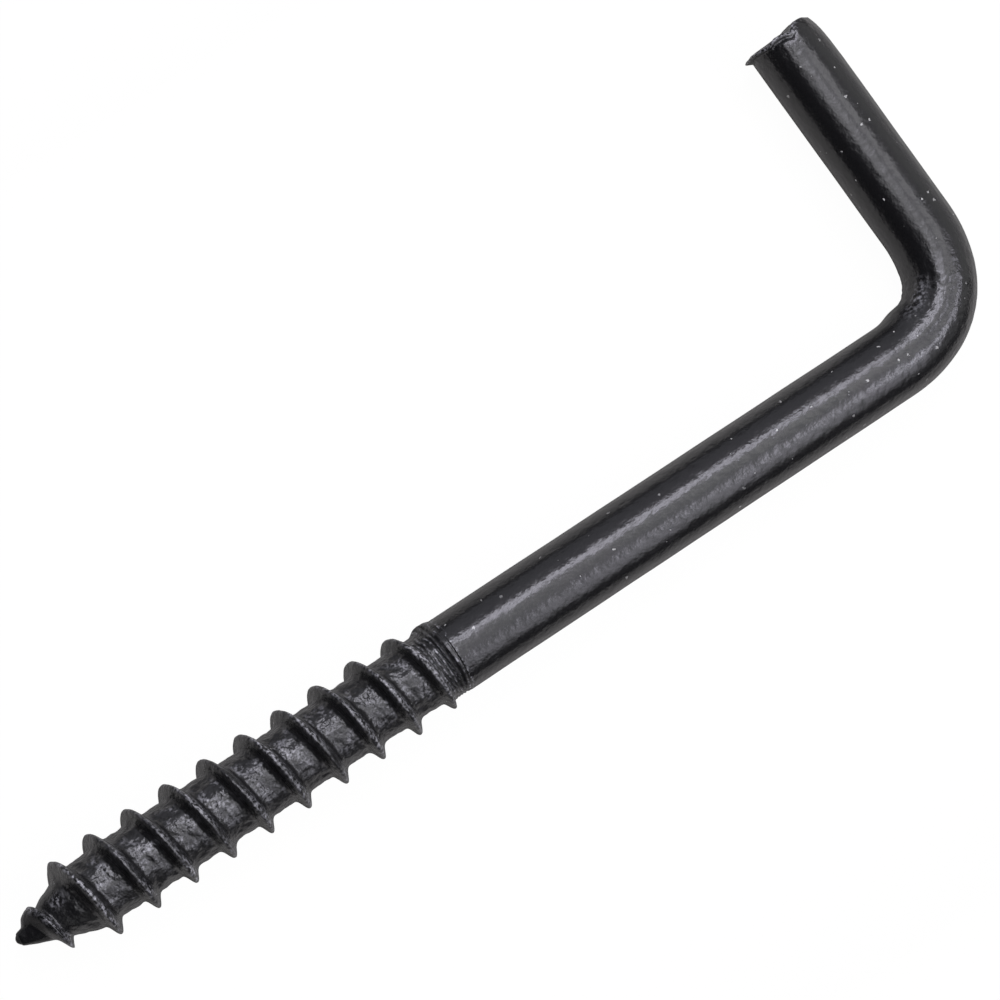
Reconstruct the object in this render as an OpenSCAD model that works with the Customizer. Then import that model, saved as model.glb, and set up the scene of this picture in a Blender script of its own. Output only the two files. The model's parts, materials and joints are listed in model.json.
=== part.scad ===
// Square screw hook: one piece of round steel wire. A coarse wood-screw thread is rolled
// on one end, and the other end is bent up square and sheared off.
//
// The origin is on the wire's axis at the thread's shoulder. The plain shank runs along +X
// to the bend, the thread runs along -X to its blunt tip, and the arm rises along +Y.
// The hook's middle plane is Z = 0, so the hook lies flat with +Z up. Sizes are in mm.

/* [Wire] */
// Diameter of the wire
wire_d = 5.0; // [3.5:0.1:8]

/* [Hook] */
// From the thread's shoulder to the arm's centreline
reach = 41.6; // [20:0.1:90]
// From the shank's centreline to the arm's free end
rise = 21.7; // [16:0.1:45]
// How far the arm leans back over the shank, in degrees
lean = 2.6; // [0:0.1:15]

/* [Bend] */
// Centreline radius where the bend is tightest
bend_core_r = 4.8; // [4.4:0.1:9]
// Centreline radius where the shank eases into the bend
bend_shank_r = 9.4; // [5:0.1:14]
// Centreline radius where the bend eases into the arm
bend_arm_r = 8.8; // [5:0.1:14]
// Angle turned by the easing on the shank's side, in degrees
ease_shank = 20; // [5:1:30]
// Angle turned by the easing on the arm's side, in degrees
ease_arm = 20; // [5:1:30]
// How much the wire's radius draws down in each easing, and again in the tightest part
draw_down = 0.02; // [0.02:0.01:0.1]

/* [Cut end] */
// Radius that the shear rolled over on the outer side of the arm's end
roll_over = 1.8; // [0.8:0.1:2]
// How far the burr stands out of the wire on the inner side of the arm's end
burr = 0.2; // [0.1:0.05:0.2]
// Height of the burr along the arm
burr_h = 0.35; // [0.2:0.05:0.8]

/* [Thread] */
// From the tip to the thread's shoulder
thread_len = 31.6; // [15:0.1:60]
// Distance from one crest to the next
pitch = 2.75; // [2:0.05:4]
// How far the crests stand out of the wire
crest_rise = 0.6; // [0.3:0.05:1]
// How far the thread's root lies below the wire's surface
root_sink = 0.25; // [0.1:0.05:0.6]
// Width of the ridge at its foot
foot_w = 1.2; // [0.8:0.05:1.8]
// Width of the flat along the crest
crest_w = 0.34; // [0.1:0.02:0.6]
// Depth of the step where the thread meets the plain shank
shoulder_step = 0.04; // [0.02:0.01:0.08]

/* [Point] */
// Length of the point, from the tip to where the root reaches its full diameter
point_len = 4.4; // [3:0.1:8]
// Diameter of the blunt tip
tip_d = 1.15; // [0.8:0.05:2]
// Diameter of the small flat at the very end of the tip
tip_flat_d = 0.5; // [0.2:0.05:0.6]
// Distance from the tip at which the ridge starts
ridge_start = 0.1; // [0:0.1:1.5]
// Distance from the tip at which the ridge reaches its full height
ridge_full = 4.5; // [2:0.1:10]

/* [Hidden] */
$fn = 96;

wire_r = wire_d / 2;
tip_r = tip_d / 2;
tip_flat_r = tip_flat_d / 2;
root_r = wire_r - root_sink;
crest_r = wire_r + crest_rise;
land_r = wire_r - shoulder_step;

// The bend is three arcs in a row: an easing, the tight core and another easing
turn = 90 + lean;
core_turn = turn - ease_shank - ease_arm;
ease_wire_r = wire_r - draw_down;
core_wire_r = ease_wire_r - draw_down;
// Each slimmer stretch runs on into its stouter neighbour by this angle
lap = 1;

// How far the centreline moves over an arc of radius r that starts at one heading and ends at another
function arc_move(r, from, to) = r * [sin(to) - sin(from), cos(from) - cos(to)];

bend_end = arc_move(bend_shank_r, 0, ease_shank)
    + arc_move(bend_core_r, ease_shank, turn - ease_arm)
    + arc_move(bend_arm_r, turn - ease_arm, turn);

// Straight lengths either side of the bend, measured off the point where the two centrelines cross
shank_len = reach - bend_end.x + bend_end.y * cos(turn) / sin(turn);
arm_len = rise - bend_end.y / sin(turn);

// The roll-over cuts this much past the wire's surface and its end face, to leave clean edges
roll_overlap = 0.08;
// Cutters reach this far past what they cut
margin = 1;

// Steps round one turn of the thread
steps = 36;
// Plain land between the end of the run-out and the shoulder
land_len = 0.1;
// How far the threaded part runs on inside the shank
plug_len = 1;
run_out_end = thread_len - land_len;
// The last turn closes up to this share of a full pitch, and this much of that happens by easing
run_out_share = 0.5;
run_out_ease = 1 / run_out_share - 1;
run_out_len = run_out_share * pitch;
// Over this many turns the crest sinks to the wire's surface
crest_fade = 1.9;
// The root starts to rise this many turns before the shoulder, over one turn
root_fade = 1.5;
// The tip is rounded over this length
tip_round = tip_r;
// Least share of a pitch that the first turn may cover
least_first = 0.7;

// Whole turns from tip to shoulder. The first turn takes up what is left of the length.
turns = floor((run_out_end - run_out_len) / pitch + 2 - least_first);
first_len = run_out_end - run_out_len - pitch * (turns - 2);
first_ease = pitch / first_len - 1;

// Profile of one pitch, from the middle of one groove to the next.
// Each entry is [share of the pitch, share of the ridge's height].
knee = [(foot_w + crest_w) / 4, 0.4];
profile = [
    [0, 0],
    [0.5 - foot_w / 2 / pitch, 0],
    [0.5 - knee.x / pitch, knee.y],
    [0.5 - crest_w / 2 / pitch, 1],
    [0.5 + crest_w / 2 / pitch, 1],
    [0.5 + knee.x / pitch, knee.y],
    [0.5 + foot_w / 2 / pitch, 0],
];
points = len(profile);
// Index of the last point of the thread on each lengthwise line, and of the plug's point after it
last = points * (turns + 1);
plug = last + 1;

function clamp(x, low, high) = max(low, min(high, x));
function blend(a, b, share) = a + (b - a) * clamp(share, 0, 1);

// Distance from the tip of the middle of the groove, after t turns
function groove(t) =
    t <= 0 ? 0
    : t < 1 ? first_len * t * (1 - first_ease + first_ease * t)
    : t <= turns - 1 ? first_len + pitch * (t - 1)
    : t < turns ? run_out_end - run_out_len * (turns - t) * (1 - run_out_ease + run_out_ease * (turns - t))
    : run_out_end;

// Radius of the point's core at a distance x from the tip: a rounded tip, then a cone
function core(x) =
    x < tip_round
        ? tip_flat_r + (tip_r - tip_flat_r) * sqrt(1 - pow(1 - x / tip_round, 2))
        : blend(tip_r, root_r, (x - tip_round) / (point_len - tip_round));

// Radii of the root and of the crest at a distance x from the tip, left being the turns still to go
function root(x, left) = blend(core(x), land_r, root_fade - left);
function crest(x, left) = min(
    blend(tip_r, crest_r, (x - ridge_start) / (ridge_full - ridge_start)),
    blend(wire_r, crest_r, left / crest_fade));

// One point of the thread: t turns from the tip at the groove, then across the pitch
function thread_point(t, share, height) =
    let (x = blend(groove(t), groove(t + 1), share))
    let (left = turns - t - share)
    let (low = root(x, left))
    let (r = low + max(0, crest(x, left) - low) * height)
    [x - thread_len, r * cos(360 * t), r * sin(360 * t)];

// All points of one lengthwise line of the thread, with the plug's point at its end
function thread_line(a) = [
    for (j = [0:turns]) for (p = profile) thread_point(j - 1 + a / steps, p[0], p[1]),
    [run_out_end - thread_len, land_r * cos(360 * a / steps), land_r * sin(360 * a / steps)],
    [plug_len, land_r * cos(360 * a / steps), land_r * sin(360 * a / steps)],
];

// Index of point q on line a. After a full turn a line joins the next pitch of the first one,
// and the first line's own first pitch is a single point.
function index(a, q) =
    a == steps ? (q > last ? plug : min(q + points, last))
    : a == 0 ? max(q, points)
    : a * (plug + 1) + q;

// Two triangles of the skin between lines a and a + 1, without those that come to a line
function skin(a, q) = [
    for (f = [
        [index(a, q), index(a, q + 1), index(a + 1, q + 1)],
        [index(a, q), index(a + 1, q + 1), index(a + 1, q)],
    ])
    if (f[0] != f[1] && f[1] != f[2] && f[2] != f[0]) f
];

module thread() {
    polyhedron(
        points = [for (a = [0:steps - 1]) each thread_line(a)],
        faces = [
            for (a = [0:steps - 1]) for (q = [0:plug - 1]) each skin(a, q),
            [for (a = [0:steps - 1]) index(a, 0)],
            [for (a = [steps - 1:-1:0]) index(a, plug)],
        ]
    );
}

// A straight round bar along +X
module bar(r, length) {
    rotate([-90, 0, -90]) cylinder(r = r, h = length);
}

// Wire of radius wr bent round one arc, with the children put at the arc's end. The wire
// also runs on by an angle before the arc and after it, inside its neighbours.
module wire_arc(r, angle, wr, before = 0, after = 0) {
    translate([0, r, 0]) {
        rotate(-90 - before) rotate_extrude(angle = angle + before + after)
            translate([r, 0]) circle(r = wr);
        rotate(angle) translate([0, -r, 0]) children();
    }
}

// What the shear takes off the arm's end: all outside a round along the outer edge
module roll_over_cut() {
    side = roll_over + margin;
    translate([arm_len - roll_over + roll_overlap, -wire_r + roll_over - roll_overlap, -wire_r - margin])
        difference() {
            translate([0, -side, 0]) cube([side, side, wire_d + 2 * margin]);
            translate([0, 0, -margin]) cylinder(r = roll_over, h = wire_d + 4 * margin);
        }
}

// The straight arm, laid along +X with the outer side of the bend at -Y
module arm() {
    difference() {
        bar(wire_r, arm_len);
        roll_over_cut();
    }
    // The burr is a crescent: a slightly smaller disc set over towards the inner side
    translate([arm_len - burr_h, 2 * burr, 0]) bar(wire_r - burr, burr_h);
}

module screw_hook() {
    color([0.07, 0.07, 0.08]) {
        thread();
        bar(wire_r, shank_len);
        translate([shank_len, 0, 0])
            wire_arc(bend_shank_r, ease_shank, ease_wire_r, before = lap)
            wire_arc(bend_core_r, core_turn, core_wire_r, before = lap, after = lap)
            wire_arc(bend_arm_r, ease_arm, ease_wire_r, after = lap)
            arm();
    }
}

screw_hook();
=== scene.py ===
import json
import math

import bmesh
import bpy
from mathutils import Matrix, Vector, noise


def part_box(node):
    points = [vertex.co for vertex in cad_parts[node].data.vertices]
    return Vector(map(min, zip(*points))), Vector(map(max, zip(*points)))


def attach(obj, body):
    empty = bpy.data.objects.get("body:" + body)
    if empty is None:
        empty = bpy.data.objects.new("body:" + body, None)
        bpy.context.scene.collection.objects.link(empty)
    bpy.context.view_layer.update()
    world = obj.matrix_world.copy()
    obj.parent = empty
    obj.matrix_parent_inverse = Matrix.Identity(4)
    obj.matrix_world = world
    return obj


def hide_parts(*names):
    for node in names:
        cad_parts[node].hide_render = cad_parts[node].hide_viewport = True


# Looks of a square screw hook: steel wire with a rolled wood-screw thread, bent up square and dipped in
# black lacquer. The wire is made straight and then bent, as a real one is: the thread is spun, the plain
# wire is drawn out of its end, the relief is pressed in, and the whole is bent.
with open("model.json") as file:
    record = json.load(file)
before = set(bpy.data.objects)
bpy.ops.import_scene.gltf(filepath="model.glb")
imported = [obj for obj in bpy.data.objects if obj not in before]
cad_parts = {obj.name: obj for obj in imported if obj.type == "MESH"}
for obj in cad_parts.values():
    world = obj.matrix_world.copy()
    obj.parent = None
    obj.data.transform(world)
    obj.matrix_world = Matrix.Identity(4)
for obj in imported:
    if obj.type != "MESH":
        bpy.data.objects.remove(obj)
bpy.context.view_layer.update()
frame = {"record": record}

# ---------------------------------------------------------------- sizes
# The wire is shaped in millimetres, with x along the straight wire from the thread's shoulder, the
# thread at negative x, and angles round the wire from the inner side of the bend (+Y) over the top (+Z).
MM = 0.001
low, high = [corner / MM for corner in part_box("screw_hook")]
arm = next(m for m in frame["record"]["mounts"] if m["name"] == "arm")
wire_r = arm["dims"]["r_mm"]
arm_len = arm["dims"]["length_mm"]
arm_way = Vector(arm["axis"])
arm_foot = Vector(arm["pos_m"]) / MM - arm_way * arm_len / 2
tip_x = low.x
crest_r = high.z

# Thread, as in the part's source
pitch = 2.75
root_r = wire_r - 0.25
last_crest_x = -0.1  # where the crest would pass the inner side at the end of the last turn

# Point: a blunt domed nose, a neck behind it, and a cone up to the thread's root
nose_r = 0.34
nose_len = 0.35
nose_dome = 0.2
neck_r = 0.54
cone_len = 4.8  # from the tip
crest_start_r = 0.66  # of the crest if it went on to the tip
crest_growth = 0.6  # of its radius, over each millimetre from the tip
second_turn_x = tip_x + 4.6  # where the second turn of the crest faces up

# Bend: an easing, the tight core and another easing, each a centreline radius and an angle
turn = math.pi / 2 + math.asin(-arm_way.x)
ease_turn = math.radians(20)
arcs = [(9.4, ease_turn), (4.8, turn - 2 * ease_turn), (8.8, ease_turn)]

# Arm: how far back from its end the shear has left its mark
sheared_len = 3.5


def across(heading):
    """The direction square to a heading, on the inner side of the bend."""
    return Vector((-math.sin(heading), math.cos(heading), 0))


def stretches():
    """The centreline's stretches: distance from the shoulder, place, heading, radius (0 if straight)."""
    reach, heading = Vector(), 0
    for radius, angle in arcs:
        reach += radius * (across(heading) - across(heading + angle))
        heading += angle
    shank_len = arm_foot.x - reach.x
    found = [(0, Vector(), 0, 0)]
    run, place, heading = shank_len, Vector((shank_len, 0, 0)), 0
    for radius, angle in arcs:
        found.append((run, place.copy(), heading, radius))
        place += radius * (across(heading) - across(heading + angle))
        run += radius * angle
        heading += angle
    found.append((run, place, heading, 0))
    return found


wire = stretches()
bend_start, core_start, core_end, arm_start = [stretch[0] for stretch in wire[1:]]
core_mid = (core_start + core_end) / 2
wire_end = arm_start + arm_len


# ---------------------------------------------------------------- curves
def ease(x, a, b):
    """0 at a and before it, 1 at b and past it, smooth between."""
    share = min(1, max(0, (x - a) / (b - a)))
    return share * share * (3 - 2 * share)


def hump(x, middle, half):
    """1 in the middle, smoothly down to 0 at half a width to either side."""
    return 1 - ease(abs(x - middle), 0, half)


def around(angle, middle, half):
    """A hump round the wire, with its middle and its half width in degrees."""
    return hump(angle, math.radians(middle), math.radians(half))


def grain(x, angle, size, seed):
    """Smooth noise from about -1 to 1 over the wire's skin, with grains of the given size.

    Each use has a seed of its own, so that no two have the same grains.
    """
    place = Vector((x, wire_r * math.cos(angle), wire_r * math.sin(angle)))
    return noise.noise(place / size + Vector((seed * 17.3, 0, 0)))


def blend_min(a, b, reach):
    """The lower of two values, rounded over where they cross."""
    share = max(0, reach - abs(a - b)) / reach
    return min(a, b) - share * share * reach / 4


# ---------------------------------------------------------------- thread
def core_radius(x):
    """Radius of the core: the nose, the cone, then the thread's root with a slight waist before it."""
    from_tip = max(0.0, x - tip_x)
    if from_tip < nose_len:
        return nose_r + (neck_r - nose_r) * math.sqrt(from_tip / nose_len)
    cone = neck_r + (root_r - neck_r) * (from_tip - nose_len) / (cone_len - nose_len)
    return blend_min(cone, root_r, 0.2) - 0.07 * hump(x, tip_x + 5.5, 1.5)


def crest_radius(x):
    """Radius of the crest: it grows from the tip, and sinks into the wire at the shoulder."""
    grown = blend_min(crest_start_r + crest_growth * (x - tip_x), crest_r, 0.4)
    kept = 1 - 0.22 * ease(x, -4.4, -2.2) - 0.5 * ease(x, -1.6, -0.8) - 0.28 * ease(x, -0.5, 0.1)
    return min(grown, wire_r + (crest_r - wire_r) * kept)


def from_crest(x, angle):
    """Distance along the wire from the nearest crest, which wanders a little off its true helix."""
    lead = 0.15 * (1 - ease(x, tip_x + 2.8, tip_x + 3.8))
    wander = 0.045 * grain(x, angle, 1.3, 3) - 0.1 * max(0, math.sin(angle))
    return (x + lead + wander - last_crest_x - pitch * angle / math.tau + pitch / 2) % pitch - pitch / 2


def ridge_height(d, x):
    """Height of the ridge, from 0 to 1, at a distance d along the wire from its crest.

    It is steep towards the tip and rounder towards the shank. By the tip it starts as a blunt dome,
    then comes to a sharp edge for half a turn. It is sharp again at its last place on the outer side.
    """
    width, power = (0.38, 2.1) if d > 0 else (0.375, 2.6)
    dome = 1 - ease(x, tip_x + 1.5, tip_x + 2.1)
    sharp = max(hump(x, tip_x + 2.65, 0.9), hump(x, -1.3, 0.6))
    width += (0.5 - width) * dome - (0.22 if d > 0 else 0.07) * sharp
    power += (4 - power) * dome
    return math.exp(-(abs(d) / width) ** power)


def root_radius(x, angle, height, by_tip):
    """Radius of the lumpy root. The lumps are weaker by the tip and under the ridge."""
    lumps = 0.09 * grain(x, angle, 0.65, 1) + 0.022 * grain(x, angle, 0.32, 2)
    root = core_radius(x) + lumps * (1 - 0.85 * by_tip) * (1 - 0.85 * height) * ease(x, tip_x, tip_x + 1)
    # Metal left between the first two ridges on the inner side
    left = 0.17 * hump(x, tip_x + 2.5, 1.0) + 0.18 * hump(x, tip_x + 3.4, 0.75)
    return root + left * max(0, math.cos(angle))


def run_out(x, angle):
    """The fill behind the last turn of the ridge, where the root comes up to the wire.

    Returns how full it is, how far it has come from the ridge (0) to the shoulder (1), and its swelling.
    """
    last_ridge_x = last_crest_x + pitch * (angle / math.tau - 1)
    part = min(1, max(0, (x - last_ridge_x) / -last_ridge_x))
    fill = ease(angle, math.radians(18), math.radians(48)) * ease(part, 0.02, 0.12)
    # On the inner side it starts sooner, and swells before the shoulder
    inner = max(0, math.cos(angle)) ** 4
    fill = max(fill, ease(x, -0.55, -0.05), inner * ease(x, -1.75, -1.0))
    return fill, part, 0.15 * inner * hump(x, -0.72, 0.8)


def lapped_radius(part, x, angle):
    """The filled root from the last ridge (part 0) to the shoulder (part 1), with the rollers' folds.

    Returns the radius, and how far the edges of the folds are painted lighter: wear, and a painted highlight
    along them.
    """
    # They were pressed flat on the outer side
    deep = 1 - 0.75 * around(angle, 180, 55)
    dip = 0.13 * deep * ease(part, 0.1, 0.4) * (1 - ease(part, 0.56, 0.7))
    # Two dark grooves that wave and break off, and a faint one by the shoulder
    bent = part + 0.03 * grain(x, angle, 1.6, 15)
    groove = 0.17 * hump(bent, 0.64, 0.05) + 0.25 * hump(bent, 0.77, 0.08) + 0.06 * hump(part, 0.95, 0.03)
    groove *= deep * max(0, 0.9 + 1.2 * grain(x, angle, 1.0, 9))
    # Seven finer folds
    fold = (part * 7.5 + 0.8 * grain(x, angle, 1.8, 7) + 0.35 * grain(x, angle, 0.6, 10)) % 1
    shown = ease(part, 0.04, 0.12) * (1 - 0.6 * ease(part, 0.6, 0.72) - 0.4 * ease(part, 0.85, 0.95))
    depth = 0.2 * deep * (0.7 + 0.9 * grain(x, angle, 0.9, 8)) * shown
    # Edges of the folds painted lighter: wear, and a painted highlight
    edge = 0.8 * hump(fold, 0.84, 0.2) * shown
    edge = max(edge, hump(bent, 0.88, 0.04) * ease(grain(0, angle, 0.8, 34), -0.3, 0.1))
    return wire_r - 0.01 - dip - groove - depth * hump(fold, 0.45, 0.32), edge


def crest_wear_and_highlight(d, x, angle, by_tip):
    """How far the crest is painted lighter along its rounded side, most on its second turn, where it faces
    up: wear, and a painted highlight.
    """
    second = hump(x, second_turn_x, 1.6)
    worn = 0.6 + 0.9 * grain(x, angle, 2.2, 31) + 0.5 * hump(x, second_turn_x, 1.2)
    worn *= hump(d, 0.13 * (1 - second), 0.34 + 0.1 * by_tip - 0.1 * second) * (1 - ease(x, -1.2, -0.2))
    # A patch painted lighter between the first two turns, on their upper side: wear and painted highlight
    return max(worn, 0.6 * hump(x, tip_x + 3, 0.7) * around(angle, 60, 22))


def thin_and_highlit_patches(x, angle, height, fill):
    """How far the root is painted lighter in patches: scant lacquer, and painted highlights, most of them on
    its upper face.
    """
    thin_and_highlit = 0.42 * ease(grain(x, angle, 0.8, 33), 0.02, 0.3) * (1 - ease(height, 0, 0.15))
    thin_and_highlit *= ease(x, tip_x + 4.5, tip_x + 5.5) * (1 - fill)
    # More on the upper face, where the light falls: painted highlights
    thin_and_highlit *= 1 + 0.6 * around(angle, 76, 17)
    thin_and_highlit *= (1 - around(angle, 150, 50)) * (1 - around(angle, 25, 30))
    return thin_and_highlit


def thread_radius(x, angle):
    """Radius of the threaded end, how rough its skin is, and how far it is painted lighter as wear and as
    painted highlights, both from 0 to 1.
    """
    angle %= math.tau
    by_tip = 1 - ease(x, tip_x + 2.5, tip_x + 4.5)
    d = from_crest(x, angle)
    height = ridge_height(d, x)
    root = root_radius(x, angle, height, by_tip)
    # The crest painted lighter: wear, and a painted highlight
    worn = crest_wear_and_highlight(d, x, angle, by_tip)
    fill, part, swelling = run_out(x, angle)
    if fill > 0:
        lapped, edge = lapped_radius(part, x, angle)
        root += (lapped - root) * fill + swelling
        worn = max(worn, edge * fill)
    crest = crest_radius(x) + 0.035 * grain(x, angle, 0.45, 5) - 0.015
    rise = max(0, crest - root) * height * ease(x, tip_x + 0.35, tip_x + 0.8)
    flank = hump(height, 0.45, 0.42)
    rough = (1 - 0.85 * flank) * (1 - 0.75 * by_tip) * (1 - ease(x, -0.4, 0))
    # Patches of the root painted lighter: scant lacquer, and painted highlights
    thin_and_highlit = thin_and_highlit_patches(x, angle, height, fill)
    return root + rise, rough, min(1, max(0, worn, thin_and_highlit))


def dull_tip(x, angle):
    """1 on the nose and up to the first ridge, where the lacquer is dull, and 0 elsewhere."""
    before_ridge = tip_x + 1.3 + pitch * (angle % math.tau) / math.tau
    facing = max(ease(math.sin(angle), 0, 0.3), 1 - ease(x, tip_x + 0.2, tip_x + 0.5))
    return (1 - ease(x, before_ridge - 0.3, before_ridge)) * facing


# ---------------------------------------------------------------- plain wire
def plain_radius(x, angle):
    """Radius of the shank, the bend and the arm."""
    core = hump(x, core_mid, 4.2)
    side = math.cos(angle)
    r = wire_r - core * 0.11 * side * side + core * 0.05 * (1 - side * side)
    # The metal is pushed up on the inner side just before the tight part
    r += 0.12 * hump(x, core_start - 0.9, 1.6) * max(0, side) ** 2
    # A shallow furrow along the face of the bend, and another nearer its inner side
    r -= 0.05 * around(angle, 92, 11) * hump(x, core_mid - 2, 6)
    r -= 0.05 * around(angle, 58, 9) * hump(x, core_mid + 0.8, 3)
    # Wrinkles squeezed up inside the bend, and the stretched skin outside it
    squeezed = core * (0.5 + 0.5 * side)
    r += 0.04 * squeezed * grain(x * 2, angle, 0.8, 11) + 0.02 * core * grain(x * 1.5, angle, 0.5, 12)
    r += 0.012 * core * grain(x * 0.35, angle, 0.3, 14)
    # Slight unevenness of the drawn wire
    return r + 0.014 * grain(x, angle, 3.5, 13)


def plain_skin(x, angle):
    """How rough the skin of the plain wire is, and how far it is painted lighter as wear and as painted
    highlights, both from 0 to 1.
    """
    squeezed = hump(x, core_mid, 4.5)
    rough = 0.35 * squeezed + 0.2 * (1 - ease(x, 0, 3)) + 0.45 * ease(x, wire_end - 3, wire_end - 0.6)
    # A scuffed patch in the bend, two lines along its face that are wear and painted highlight, and the
    # shoulder's edge
    scuffed = hump(x, core_mid - 1.0, 3.0) * around(angle, 44, 20)
    rubbed_and_highlit = hump(x, core_mid - 4, 6) * around(angle, 103, 7)
    rubbed_and_highlit += 0.8 * hump(x, core_mid - 2, 4) * around(angle, 77, 7)
    rubbed_and_highlit *= 0.5 + grain(x, angle, 1.2, 32)
    return rough, max(0, 0.55 * scuffed + 0.5 * rubbed_and_highlit) + 0.8 * hump(x, 0.02, 0.12)


# ---------------------------------------------------------------- sheared end
def sheared_rim(angle, inner, outer):
    """The rim as the shear left it: rolled over outside, torn, and chipped on the upper side.

    Returns how far it lies back from the arm's end, and how far it lies in from the wire's skin.
    """
    torn = grain(0, angle, 0.9, 21) + 0.6 * grain(0, angle, 0.4, 22)
    chip = around(angle, 84, 16)
    back = 0.07 + 0.07 * inner + 0.04 * outer + 0.09 * torn * (1 - outer)
    back += 0.2 * chip + 0.13 * around(abs(angle), 46, 12)
    drop = 0.16 + 0.2 * outer - 0.14 * inner + 0.08 * chip
    return back, drop


def sheared_end(left, share, angle):
    """The arm's end, with a burr dragged out on its inner side.

    Takes the distance left to the end and the share of the radius; gives the new distance and radius.
    """
    side = math.cos(angle)
    inner = ease(side, 0.35, 1)
    outer = ease(-side, -0.25, 1)
    back, drop = sheared_rim(angle, inner, outer)
    burr = 0.44 * inner
    at_rim = 0.72  # of the burr's height, at its edge
    # The outer half of the end stands out in a low ridge
    stands = 0.2 * hump(share * side, -0.4, 0.45)
    if share < 0.999:
        # The face: rough in the middle, curving back to a fringed rim
        middle = 0.03 * grain(share * 6 * side, share * 3 * angle, 0.9, 23)
        power = 1.8 + 1.4 * outer
        fringe = ease(share, 0.25, 0.9) * (1 - outer) * 0.05 * grain(share * 5, angle, 0.5, 24)
        face_r = wire_r - drop + at_rim * burr
        return middle + (back - middle) * share ** power + fringe - stands, face_r * share
    r = wire_r - drop * math.exp(-left / (0.35 + 0.6 * outer))
    # A thin lip stands over a hollow on the upper side
    r -= 0.17 * hump(left, 0.36, 0.26) * around(angle, 66, 32)
    r += burr * max(at_rim * (1 - ease(left, 0, 0.1)), hump(left, 0.11, 0.3))
    return left + (back - stands) * (1 - ease(left, 0, 2.5)), r


# ---------------------------------------------------------------- the mesh
steps_round = 84
cells_across = 56  # over one pitch
arm_end_rings = 18
tip_shares = [0.75, 0.5, 0.25]
weld_gap = 0.0005
cut_gap = 0.004


def spun_thread(bm):
    """A strip one pitch wide, spun once along the helix, repeated turn by turn and cut square at both ends.

    The first turns lie before the tip and are cut off.
    """
    start = tip_x - 1.5 * pitch
    ends = [bm.verts.new((start + k * pitch, wire_r, 0)) for k in (0, 1)]
    edge = bm.edges.new(ends)
    bmesh.ops.subdivide_edges(bm, edges=[edge], cuts=cells_across - 1)
    bmesh.ops.spin(
        bm, geom=bm.verts[:] + bm.edges[:], cent=(0, 0, 0), axis=(1, 0, 0), angle=math.tau,
        dvec=(pitch / steps_round, 0, 0), steps=steps_round, use_merge=False, use_duplicate=False,
    )
    one_turn = bm.verts[:] + bm.edges[:] + bm.faces[:]
    for k in range(1, math.ceil(-start / pitch)):
        copied = bmesh.ops.duplicate(bm, geom=one_turn)["geom"]
        verts = [g for g in copied if isinstance(g, bmesh.types.BMVert)]
        bmesh.ops.translate(bm, verts=verts, vec=(k * pitch, 0, 0))
    bmesh.ops.remove_doubles(bm, verts=bm.verts[:], dist=weld_gap)
    for x, way in ((tip_x, -1), (0, 1)):
        bmesh.ops.bisect_plane(
            bm, geom=bm.verts[:] + bm.edges[:] + bm.faces[:], dist=cut_gap,
            plane_co=(x, 0, 0), plane_no=(way, 0, 0), clear_outer=True, clear_inner=False,
        )


def open_ring(bm, x):
    """The edges of the open end at x."""
    return [e for e in bm.edges if e.is_boundary and all(abs(v.co.x - x) < 0.01 for v in e.verts)]


def draw_out(bm, ring, move, scale=1.0):
    """Extrudes a ring of edges along the wire, and makes it narrower by a scale. Returns the new ring."""
    made = bmesh.ops.extrude_edge_only(bm, edges=ring)["geom"]
    verts = [g for g in made if isinstance(g, bmesh.types.BMVert)]
    bmesh.ops.translate(bm, verts=verts, vec=(move, 0, 0))
    bmesh.ops.scale(bm, verts=verts, vec=(1, scale, scale))
    return [g for g in made if isinstance(g, bmesh.types.BMEdge)]


def stations():
    """Distances of the plain wire's rings from the shoulder: close together where the shape changes."""
    spans = [(1.5, 0.1), (bend_start - 1, 0.5), (core_start - 1, 0.3), (core_end + 1, 0.16),
             (arm_start, 0.3), (wire_end - 3, 0.5), (wire_end - 1, 0.14), (wire_end, 0.07)]
    found = [0]
    for end, spacing in spans:
        start = found[-1]
        count = max(1, round((end - start) / spacing))
        found += [start + (end - start) * k / count for k in range(1, count + 1)]
    return found


def plain_wire(bm):
    """Draws the wire out of the thread's end, and cuts it into rings at its stations."""
    places = stations()
    drawn = draw_out(bm, open_ring(bm, 0), wire_end)
    rings = {v for e in drawn for v in e.verts}
    lengthwise = [e for v in rings for e in v.link_edges if abs(e.verts[0].co.x - e.verts[1].co.x) > 1]
    cuts = bmesh.ops.subdivide_edges(bm, edges=lengthwise, cuts=len(places) - 2, use_grid_fill=True)
    for v in {g for g in cuts["geom_inner"] if isinstance(g, bmesh.types.BMVert)}:
        v.co.x = places[round(v.co.x / wire_end * (len(places) - 1))]


def close_end(bm, ring, shares):
    """Closes an open end with rings at the given shares of its radius, and a small face in the middle."""
    before = 1
    for share in shares:
        ring = draw_out(bm, ring, 0, share / before)
        before = share
    bmesh.ops.contextual_create(bm, geom=ring)


def straight_wire(bm):
    """The wire before its relief is pressed in: the thread's grid, then rings, closed at both ends."""
    spun_thread(bm)
    plain_wire(bm)
    close_end(bm, open_ring(bm, wire_end), [1 - k / arm_end_rings for k in range(1, arm_end_rings)])
    close_end(bm, open_ring(bm, tip_x), tip_shares)


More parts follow.
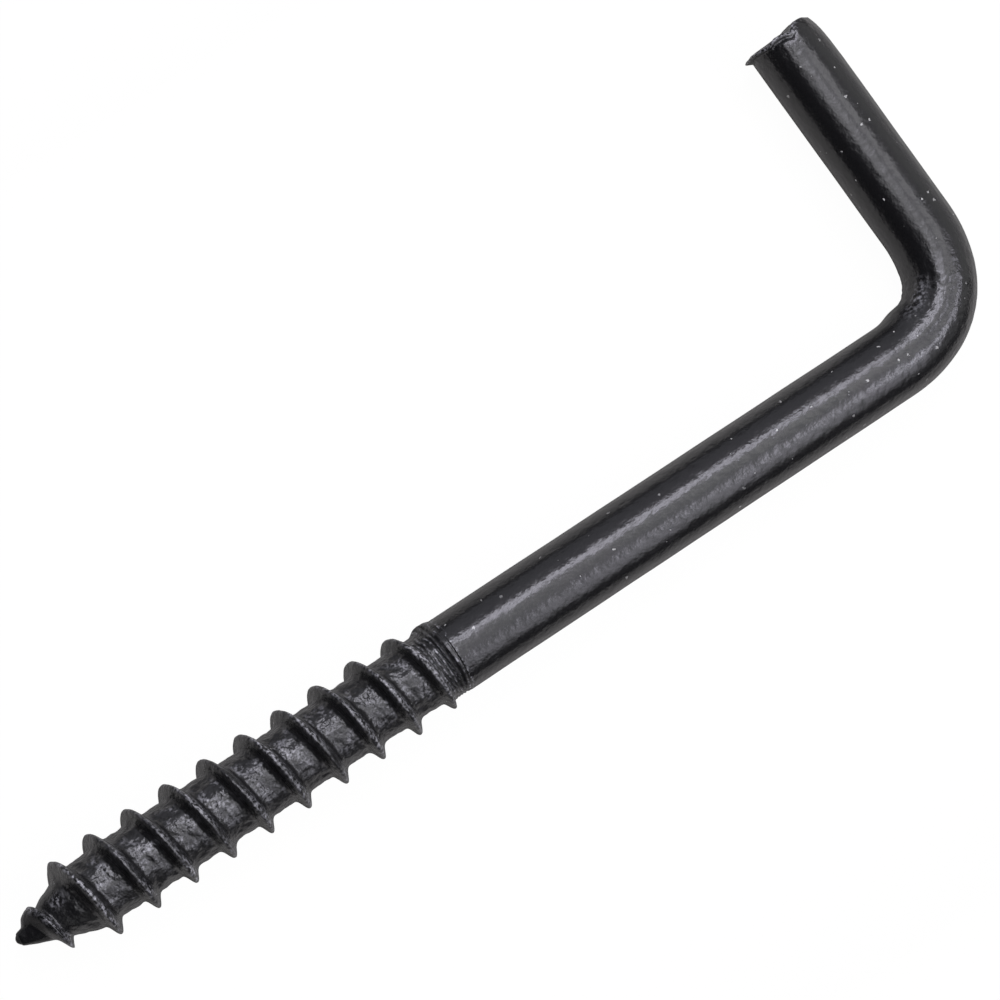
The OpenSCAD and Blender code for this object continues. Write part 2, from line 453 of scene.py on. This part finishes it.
def pressed(point):
    """Where the relief takes a point of the straight wire, how rough it is there, and how far it is painted
    lighter as wear and as painted highlight.
    """
    x, y, z = point
    share = math.hypot(y, z) / wire_r
    angle = math.atan2(z, y)
    if x < 0:
        r, rough, worn = thread_radius(x, angle)
        r *= share
        x -= nose_dome * max(0, 1 - share * share)
    else:
        left = wire_end - x
        full = plain_radius(x, angle)
        rough, worn = plain_skin(x, angle)
        r = full * share
        if left < sheared_len:
            # Bare steel along the torn rim, but not where the outer side is rolled over
            rim = hump(left, 0, 0.24) * (0.2 + 0.8 * ease(share, 0.8, 0.95))
            worn = max(worn, rim * (1 - ease(-y, 0.2, 1.4)))
            left, end_r = sheared_end(left, share, angle)
            x = wire_end - left
            r = end_r + (full - wire_r) * share
    place = Vector((x, r * math.cos(angle), r * math.sin(angle)))
    # The cone was pressed slightly off the wire's axis
    place.y -= 0.09 * ease(x, tip_x - 0.2, tip_x + 1) * (1 - ease(x, tip_x + 3, tip_x + 7))
    return place, rough, worn


def press_relief(bm):
    """Moves each point of the straight wire to its true place, and marks what its skin is like."""
    roughened = bm.verts.layers.float.new("rough")
    # How far the skin is painted lighter: wear, and painted highlights
    rubbed_and_highlit = bm.verts.layers.float.new("worn")
    dulled = bm.verts.layers.float.new("dull")
    for v in bm.verts:
        v[dulled] = dull_tip(v.co.x, math.atan2(v.co.z, v.co.y))
        v.co, v[roughened], v[rubbed_and_highlit] = pressed(v.co)


def bend(point):
    """Where a point of the straight wire goes once the wire is bent."""
    run, place, heading, radius = [s for s in wire if s[0] <= max(0, point.x)][-1]
    gone = point.x - run
    if radius:
        turned = heading + gone / radius
        centre = place + radius * across(heading) - radius * across(turned)
    else:
        turned = heading
        centre = place + gone * Vector((math.cos(heading), math.sin(heading), 0))
    return centre + point.y * across(turned) + Vector((0, 0, point.z))


def hook_mesh():
    """The bent wire as one closed mesh, in metres."""
    bm = bmesh.new()
    straight_wire(bm)
    press_relief(bm)
    for v in bm.verts:
        v.co = bend(v.co) * MM
    bmesh.ops.recalc_face_normals(bm, faces=bm.faces[:])
    for face in bm.faces:
        face.smooth = True
    mesh = bpy.data.meshes.new("lacquered_wire")
    bm.to_mesh(mesh)
    bm.free()
    return mesh


# ---------------------------------------------------------------- materials
def colour(hex_value):
    """Linear colour of an sRGB hex value."""
    parts = [int(hex_value[i:i + 2], 16) / 255 for i in (1, 3, 5)]
    return [c / 12.92 if c <= 0.04045 else ((c + 0.055) / 1.055) ** 2.4 for c in parts] + [1]


def add_node(tree, kind, settings=None, links=None):
    """Adds a node, sets its inputs and properties by name, and links outputs of other nodes to it."""
    node = tree.nodes.new("ShaderNode" + kind)
    for name, value in (settings or {}).items():
        if isinstance(name, str) and hasattr(node, name):
            setattr(node, name, value)
        else:
            node.inputs[name].default_value = value
    for name, source in (links or {}).items():
        tree.links.new(source, node.inputs[name])
    return node


def new_material(name):
    """An empty material, and its node tree."""
    material = bpy.data.materials.new(name)
    material.use_nodes = True
    material.node_tree.nodes.clear()
    return material, material.node_tree


def skin_relief(tree, place, rough):
    """The normal of the lacquer's flow, its skin and its dust, 0.7 mm, 0.3 mm and 0.12 mm across."""
    normal = None
    # Each the noise's scale, then its height in metres on smooth and on rough skin
    for size, on_smooth, on_rough in (
        (1400, 0.000036, 0.00011),
        (3400, 0.000018, 0.000072),
        (9000, 0.000008, 0.00001),
    ):
        lumps = add_node(tree, "TexNoise", {"Scale": size, "Detail": 1.0, "Roughness": 0.6},
                         {"Vector": place})
        height = add_node(tree, "MapRange", {"To Min": on_smooth, "To Max": on_rough}, {"Value": rough})
        links = {"Height": lumps.outputs["Fac"], "Distance": height.outputs["Result"]}
        if normal:
            links["Normal"] = normal
        normal = add_node(tree, "Bump", {"Strength": 1.0}, links).outputs["Normal"]
    return normal


def bare_and_highlit_grains(tree, place, worn):
    """Light grains of 0.25 mm where the skin is painted lighter: steel showing through the wear, and painted
    highlights.

    The grains are coarser than real ones, which are too fine to show.
    """
    grains = add_node(tree, "TexNoise", {"Scale": 4400, "Detail": 1.0, "Roughness": 0.6}, {"Vector": place})
    bare_and_lit = add_node(tree, "MapRange", {"From Min": 0.45, "From Max": 0.68},
                    {"Value": grains.outputs["Fac"]})
    bare_and_lit = add_node(tree, "Math", {"operation": "MULTIPLY"}, {0: bare_and_lit.outputs["Result"], 1: worn})
    return bare_and_lit.outputs[0]


def dust_specks(tree, place, rough, dull):
    """White specks of 0.1 to 0.2 mm in a few of the cells of 0.7 mm, fewer on rough skin."""
    cells = add_node(tree, "TexVoronoi", {"Scale": 1500}, {"Vector": place})
    picked = add_node(tree, "SeparateColor", None, {"Color": cells.outputs["Color"]})
    # Their edge is made ragged by flakes of 0.1 mm
    flakes = add_node(tree, "TexNoise", {"Scale": 10000, "Detail": 1.0}, {"Vector": place})
    reach = add_node(tree, "MapRange", {"To Min": 0.12, "To Max": 0.34}, {"Value": picked.outputs["Green"]})
    ragged = add_node(tree, "Math", {"operation": "MULTIPLY_ADD", 1: 0.36},
                      {0: flakes.outputs["Fac"], 2: cells.outputs["Distance"]})
    near = add_node(tree, "Math", {"operation": "LESS_THAN"},
                    {0: ragged.outputs[0], 1: reach.outputs["Result"]})
    often = add_node(tree, "Math", {"operation": "MULTIPLY_ADD", 1: -0.5},
                     {0: rough, 2: picked.outputs["Red"]})
    chosen = add_node(tree, "Math", {"operation": "GREATER_THAN", 1: 0.42}, {0: often.outputs[0]})
    white = add_node(tree, "MapRange", {"To Min": 0.15, "To Max": 1.0}, {"Value": picked.outputs["Blue"]})
    white = add_node(tree, "Math", {"operation": "MULTIPLY"},
                     {0: chosen.outputs[0], 1: white.outputs["Result"]})
    # None on the dull nose
    white = add_node(tree, "Math", {"operation": "SUBTRACT", "use_clamp": True},
                     {0: white.outputs[0], 1: dull})
    speck = add_node(tree, "Math", {"operation": "MULTIPLY"}, {0: near.outputs[0], 1: white.outputs[0]})
    return speck.outputs[0]


def rim_sheen_shader(tree, lacquer, dull):
    """The lacquer with a grey layer mixed in where the skin is seen at a low angle: a painted sheen, which
    dims the gloss at the rims.
    """
    turned = add_node(tree, "LayerWeight", {"Blend": 0.5})
    most = add_node(tree, "MapRange", {"To Min": 0.85, "To Max": 0.35}, {"Value": dull})
    sheen_share = add_node(tree, "MapRange",
                    {"interpolation_type": "SMOOTHSTEP", "From Min": 0.58},
                    {"Value": turned.outputs["Facing"], "To Max": most.outputs["Result"]})
    # The painted sheen's grey, as of dust
    dust = add_node(tree, "BsdfDiffuse", {"Color": colour("#626260")})
    shader = add_node(tree, "MixShader", None,
                      {0: sheen_share.outputs["Result"], 1: lacquer, 2: dust.outputs["BSDF"]})
    return shader.outputs[0]


def black_lacquer():
    """Black lacquer dipped over drawn and rolled steel: near black, satin, with a fine uneven skin.

    The skin is rough in the thread's root, painted lighter along the crests and in patches as wear and as
    painted highlights, and flecked with white dust.
    """
    material, tree = new_material("black_dipped_lacquer")
    place = add_node(tree, "TexCoord").outputs["Object"]
    rough, worn, dull = [add_node(tree, "Attribute", {"attribute_name": name}).outputs["Fac"]
                         for name in ("rough", "worn", "dull")]
    # Light grey grains where the skin is painted lighter: bare steel, and painted highlights
    coat = add_node(tree, "Mix", {"data_type": "RGBA", "A": colour("#171718"), "B": colour("#bcbcc0")},
                    {"Factor": bare_and_highlit_grains(tree, place, worn)})
    coat = add_node(tree, "Mix", {"data_type": "RGBA", "B": colour("#d8d8d4")},
                    {"Factor": dust_specks(tree, place, rough, dull), "A": coat.outputs["Result"]})
    spread = add_node(tree, "MapRange", {"To Min": 0.25, "To Max": 0.3}, {"Value": rough})
    gloss = add_node(tree, "MapRange", {"To Min": 0.5, "To Max": 0.18}, {"Value": dull})
    lacquer = add_node(tree, "BsdfPrincipled", {"IOR": 1.6},
                       {"Base Color": coat.outputs["Result"], "Roughness": spread.outputs["Result"],
                        "Specular IOR Level": gloss.outputs["Result"],
                        "Normal": skin_relief(tree, place, rough)})
    # A painted sheen dims the gloss at the rims
    shader = rim_sheen_shader(tree, lacquer.outputs["BSDF"], dull)
    add_node(tree, "OutputMaterial", None, {"Surface": shader})
    return material


def seen_share(tree, by_eye, in_gloss):
    """How much of the white background is seen by the camera, and in gloss or through glass."""
    path = add_node(tree, "LightPath")
    mirrored = add_node(tree, "Math", {"operation": "MAXIMUM"},
                        {0: path.outputs["Is Glossy Ray"], 1: path.outputs["Is Transmission Ray"]})
    mirrored = add_node(tree, "Math", {"operation": "MULTIPLY", 1: in_gloss}, {0: mirrored.outputs[0]})
    direct = add_node(tree, "Math", {"operation": "MULTIPLY", 1: by_eye},
                      {0: path.outputs["Is Camera Ray"]})
    seen = add_node(tree, "Math", {"operation": "MAXIMUM"}, {0: direct.outputs[0], 1: mirrored.outputs[0]})
    return seen.outputs[0]


def black_card():
    """Matt black card, to hold back light from one side."""
    material, tree = new_material("black_card")
    card = add_node(tree, "BsdfDiffuse", {"Color": colour("#1c1c1c")})
    add_node(tree, "OutputMaterial", None, {"Surface": card.outputs[0]})
    return material


def white_sheet():
    """A plain white sheet to lie on. Seen by the camera it is white, and it keeps a little of the shadow."""
    material, tree = new_material("white_sheet")
    paper = add_node(tree, "BsdfDiffuse", {"Color": colour("#c6c4bd")})
    glow = add_node(tree, "Emission", {"Color": (1, 1, 1, 1), "Strength": 1.03})
    share = seen_share(tree, 0.95, 0.08)
    both = add_node(tree, "MixShader", None, {0: share, 1: paper.outputs[0], 2: glow.outputs[0]})
    add_node(tree, "OutputMaterial", None, {"Surface": both.outputs[0]})
    return material


hook = bpy.data.objects.new("lacquered_hook", hook_mesh())
bpy.context.scene.collection.objects.link(hook)
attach(hook, "root")
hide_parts("screw_hook")
hook.data.materials.append(black_lacquer())


# ---------------------------------------------------------------- stage, in metres
floor = low.z * MM


def flat_piece(name, size, material, place, upright=None):
    """A flat rectangle of the stage. It lies flat, or stands upright, turned about an axis."""
    bm = bmesh.new()
    bmesh.ops.create_grid(bm, x_segments=1, y_segments=1, size=0.5)
    bmesh.ops.scale(bm, verts=bm.verts[:], vec=(size[0], size[1], 1))
    if upright:
        turning = Matrix.Rotation(math.radians(90), 3, upright)
        bmesh.ops.rotate(bm, verts=bm.verts[:], cent=(0, 0, 0), matrix=turning)
    bmesh.ops.translate(bm, verts=bm.verts[:], vec=place)
    mesh = bpy.data.meshes.new(name)
    bm.to_mesh(mesh)
    bm.free()
    mesh.materials.append(material)
    piece = bpy.data.objects.new(name, mesh)
    bpy.context.scene.collection.objects.link(piece)
    return piece


def cards():
    """Black cards at the tip's side, and low ones before and behind the shank, seen only in the gloss."""
    card = black_card()
    for name, size, place, axis in (
        ("side_card", (0.8, 1.2), (-0.45, 0.1, 0.4), "Y"),
        ("front_card", (0.24, 0.012), (0.02, -0.032, floor + 0.006), "X"),
        ("far_front_card", (1.6, 0.16), (0.1, -0.5, 0.078), "X"),
        ("back_card", (0.24, 0.01), (0.0, 0.04, floor + 0.005), "X"),
    ):
        piece = flat_piece(name, size, card, place, axis)
        piece.visible_camera = False
        piece.visible_shadow = False


def softbox(name, place, size, brightness, tint, aim, spun=0):
    """A soft lamp that faces its aim. Its brightness is that of its face, where 1 is white."""
    lamp = bpy.data.lights.new(name, "AREA")
    lamp.shape = "RECTANGLE"
    lamp.size, lamp.size_y = size
    lamp.energy = math.pi * size[0] * size[1] * brightness
    lamp.color = tint
    shown = bpy.data.objects.new(name, lamp)
    facing = Vector(place) - Vector(aim)
    turned = facing.to_track_quat("Z", "Y").to_matrix().to_4x4()
    shown.matrix_world = Matrix.Translation(place) @ turned @ Matrix.Rotation(math.radians(spun), 4, "Z")
    shown.visible_camera = False
    bpy.context.scene.collection.objects.link(shown)


def lamps():
    """Soft lamps 0.4 to 0.5 m above the hook, and a dim panel at its side and another behind it."""
    plain = (1, 1, 1)
    lilac = (0.9, 0.885, 1.0)
    blue = (0.75, 0.75, 1.0)
    # Places and sizes are in shares of the lamp's height
    for name, height, x, y, wide, deep, brightness, tint, spun in (
        ("overhead", 0.5, 0.165, -0.5, 1.05, 1.6, 0.75, lilac, 0),
        ("tip_strip", 0.48, -0.08, 0.0, 0.48, 0.6, 1.1, plain, 0),
        ("arm_strip", 0.46, 0.5, 0.12, 0.32, 0.36, 2.0, plain, 0),
        ("front_near", 0.44, 0.48, -0.95, 0.36, 1.4, 0.95, lilac, 0),
        ("front_far", 0.42, 0.56, -1.42, 0.7, 1.45, 0.95, lilac, 0),
        ("bend_strip", 0.43, 0.715, -0.41, 0.7, 0.22, 7.5, lilac, 46),
        ("bend_end_strip", 0.47, -0.01, 0.26, 0.22, 0.28, 3.5, lilac, 0),
        ("long_strip", 0.45, 0.22, 0.53, 0.75, 0.26, 9.6, lilac, 0),
    ):
        place = (x * height, y * height, height)
        below = (place[0], place[1], 0)
        softbox(name, place, (wide * height, deep * height), brightness, tint, below, spun)
    softbox("side_panel", (0.9, 0, 0.35), (1.6, 0.7), 0.25, plain, (0, 0, 0.35))
    softbox("back_panel", (0, 0.9, 0.45), (1.6, 0.9), 0.2, blue, (0, 0, 0.45))


def surroundings():
    """The room: dim light all round, and white where the camera looks past the sheet."""
    world = bpy.data.worlds.new("room")
    world.use_nodes = True
    tree = world.node_tree
    tree.nodes.clear()
    share = seen_share(tree, 1.0, 0.25)
    level = add_node(tree, "Math", {"operation": "MULTIPLY_ADD", 1: 0.9, 2: 0.1}, {0: share})
    room = add_node(tree, "Background", {"Color": (1, 1, 1, 1)}, {"Strength": level.outputs[0]})
    add_node(tree, "OutputWorld", None, {"Surface": room.outputs[0]})
    bpy.context.scene.world = world


flat_piece("sheet", (3, 3), white_sheet(), (0, 0, floor))
cards()
lamps()
surroundings()


# ---------------------------------------------------------------- camera
def camera():
    """A long lens well above the hook, turned so that the hook runs up across the picture."""
    roll, lean, nod = [math.radians(a) for a in (33.233, 13.663, -0.71)]
    turned = Matrix.Rotation(roll, 3, "Z") @ Matrix.Rotation(nod, 3, "X") @ Matrix.Rotation(lean, 3, "Y")
    aim = Vector((7.4, 6, 0))
    away = Vector((0.379, 0.7, 231.69))
    view_width = 62.480475  # how much of the hook's plane is seen across
    data = bpy.data.cameras.new("camera")
    data.sensor_width = 36
    data.lens = data.sensor_width * away.z / view_width
    data.clip_start, data.clip_end = 0.01, 20
    cam = bpy.data.objects.new("camera", data)
    upright = turned.transposed()
    cam.matrix_world = Matrix.Translation((aim + upright @ away) * MM) @ upright.to_4x4()
    bpy.context.scene.collection.objects.link(cam)
    bpy.context.scene.camera = cam


camera()
bpy.context.scene.view_settings.view_transform = "Standard"
